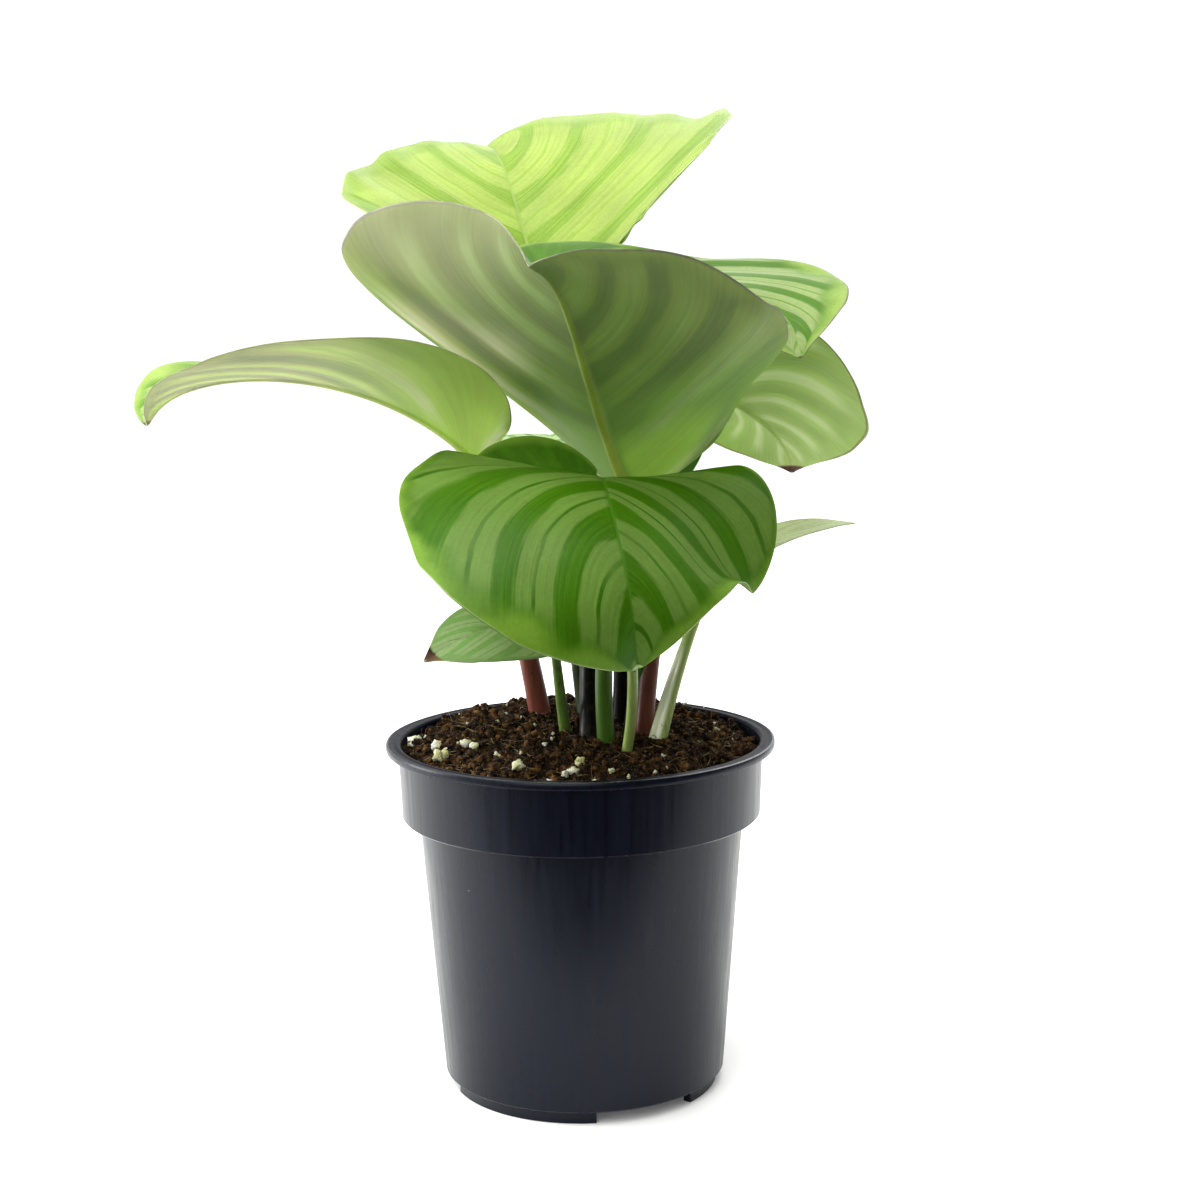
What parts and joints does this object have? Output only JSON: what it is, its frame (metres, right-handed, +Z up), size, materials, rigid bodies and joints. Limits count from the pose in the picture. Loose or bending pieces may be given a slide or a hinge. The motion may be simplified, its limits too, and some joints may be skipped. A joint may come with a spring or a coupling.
{
  "type": "potted calathea",
  "caption": "Calathea with broad round striped leaves on slender stalks, growing from dark soil in a black round grower pot.",
  "frame": {"origin": "middle of the bounding box on the floor under the feet of the pot; the pot axis stands at x 0.0231, y -0.0152", "axes": "+Z up along the pot axis, -Y to the viewer of the picture, +X to the viewer's right"},
  "size_m": [0.2266, 0.2718, 0.3069],
  "materials": {
    "pot": "black injection-moulded polypropylene, satin, dusty",
    "soil": "moist dark peat with white grit and fibres, matt",
    "stalk_back": "smooth leaf stalk, semi-gloss",
    "blade_back": "thin leaf blade, striped, satin above and matt below",
    "stalk_centre": "smooth leaf stalk, semi-gloss",
    "blade_centre": "thin leaf blade, striped, satin above and matt below",
    "stalk_right_high": "smooth leaf stalk, semi-gloss",
    "blade_right_high": "thin leaf blade, striped, satin above and matt below",
    "stalk_right_low": "smooth leaf stalk, semi-gloss",
    "blade_right_low": "thin leaf blade, striped, satin above and matt below",
    "stalk_front": "smooth leaf stalk, semi-gloss",
    "blade_front": "thin leaf blade, striped, satin above and matt below",
    "stalk_left": "smooth leaf stalk, semi-gloss",
    "blade_left": "thin leaf blade, striped, satin above and matt below",
    "stalk_left_small": "smooth leaf stalk, semi-gloss",
    "blade_left_small": "thin leaf blade, striped, satin above and matt below",
    "stalk_right_small": "smooth leaf stalk, semi-gloss",
    "blade_right_small": "thin leaf blade, striped, satin above and matt below",
    "stalk_rear_small": "smooth leaf stalk, semi-gloss",
    "blade_rear_small": "thin leaf blade, striped, satin above and matt below",
    "stalk_front_small": "smooth leaf stalk, semi-gloss",
    "blade_front_small": "thin leaf blade, striped, satin above and matt below",
    "stalk_inner_small": "smooth leaf stalk, semi-gloss",
    "blade_inner_small": "thin leaf blade, striped, satin above and matt below"
  },
  "bodies": {
    "root": {"pot": "pot", "soil": "soil", "stalk_back": "stalk_back", "blade_back": "blade_back", "stalk_centre": "stalk_centre", "blade_centre": "blade_centre", "stalk_right_high": "stalk_right_high", "blade_right_high": "blade_right_high", "stalk_right_low": "stalk_right_low", "blade_right_low": "blade_right_low", "stalk_front": "stalk_front", "blade_front": "blade_front", "stalk_left": "stalk_left", "blade_left": "blade_left", "stalk_left_small": "stalk_left_small", "blade_left_small": "blade_left_small", "stalk_right_small": "stalk_right_small", "blade_right_small": "blade_right_small", "stalk_rear_small": "stalk_rear_small", "blade_rear_small": "blade_rear_small", "stalk_front_small": "stalk_front_small", "blade_front_small": "blade_front_small", "stalk_inner_small": "stalk_inner_small", "blade_inner_small": "blade_inner_small"}
  },
  "joints": []
}
